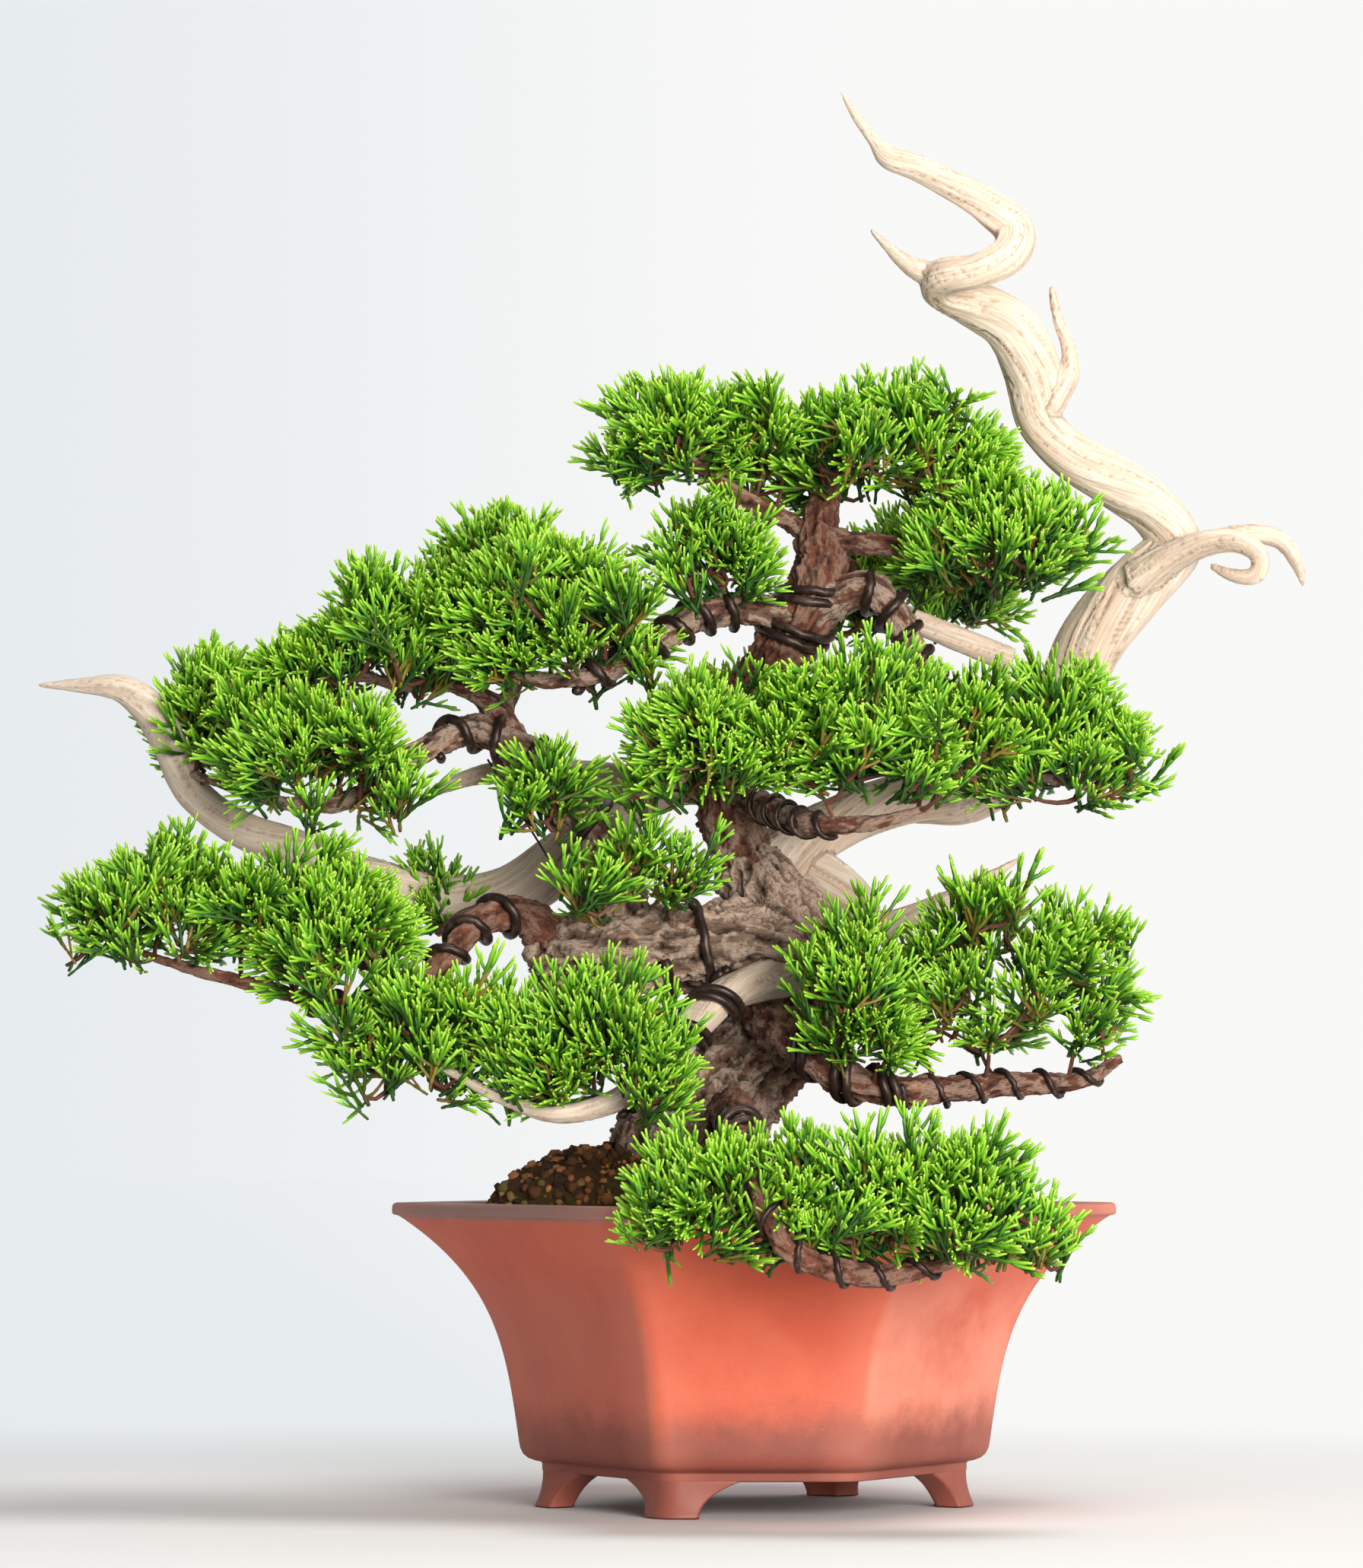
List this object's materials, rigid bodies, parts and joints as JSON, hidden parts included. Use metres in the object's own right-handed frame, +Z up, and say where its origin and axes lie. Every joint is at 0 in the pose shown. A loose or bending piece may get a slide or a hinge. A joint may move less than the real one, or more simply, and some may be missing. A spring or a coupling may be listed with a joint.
{
  "type": "juniper bonsai in a hexagonal clay pot",
  "caption": "Informal-style juniper bonsai with wired branches, clipped green foliage pads and twisting bleached deadwood, in a flared hexagonal red clay pot on short feet.",
  "frame": {"origin": "on the table, under the middle of the box that holds the whole tree and pot", "axes": "+Z up; -Y is the front, from which the tree is meant to be seen; +X is to the right of that front"},
  "size_m": [0.3508, 0.2182, 0.3886],
  "materials": {
    "fired_clay": "unglazed, satin",
    "bark": "flaky, matte",
    "bleached_wood": "bleached, dry, matte",
    "scale_foliage": "waxy scale leaves, satin",
    "training_wire": "dark anodised, satin",
    "soil_grains": "baked clay grains, matte",
    "root_moss": "roots and moss, matte",
    "screen_plastic": "matte"
  },
  "bodies": {
    "root": {"branch_back": "bark", "branch_crown_back": "bark", "branch_crown_left": "bark", "branch_crown_right": "bark", "branch_front": "bark", "branch_front_left": "bleached_wood", "branch_left_up": "bark", "branch_low_left": "bark", "branch_low_right": "bark", "branch_middle_left": "bark", "branch_middle_right": "bark", "branch_sprig": "bark", "branch_upper_left": "bark", "branch_upper_right": "bark", "drain_screen_left": "screen_plastic", "drain_screen_right": "screen_plastic", "foliage_back": "scale_foliage", "foliage_crown_back": "scale_foliage", "foliage_crown_left": "scale_foliage", "foliage_crown_right": "scale_foliage", "foliage_crown_top": "scale_foliage", "foliage_droop": "scale_foliage", "foliage_front_inner": "scale_foliage", "foliage_front_left": "scale_foliage", "foliage_front_left_tip": "scale_foliage", "foliage_front_outer": "scale_foliage", "foliage_heart": "scale_foliage", "foliage_left_front": "scale_foliage", "foliage_left_tip": "scale_foliage", "foliage_low_left": "scale_foliage", "foliage_low_left_back": "scale_foliage", "foliage_low_left_tip": "scale_foliage", "foliage_low_right": "scale_foliage", "foliage_low_right_inner": "scale_foliage", "foliage_middle_left": "scale_foliage", "foliage_middle_right": "scale_foliage", "foliage_peak": "scale_foliage", "foliage_right_tip": "scale_foliage", "foliage_sprig": "scale_foliage", "foliage_upper_left": "scale_foliage", "foliage_upper_left_tip": "scale_foliage", "guy_wire": "training_wire", "jin_bar": "bleached_wood", "jin_crown": "bleached_wood", "jin_left": "bleached_wood", "jin_spur": "bleached_wood", "pot": "fired_clay", "root_mound": "root_moss", "soil_bed": "soil_grains", "trunk": "bark", "wire_front": "training_wire", "wire_front_left": "training_wire", "wire_left_up": "training_wire", "wire_low_left": "training_wire", "wire_low_right": "training_wire", "wire_middle_left": "training_wire", "wire_trunk": "training_wire", "wire_upper_left": "training_wire", "wire_upper_right": "training_wire"}
  },
  "joints": []
}
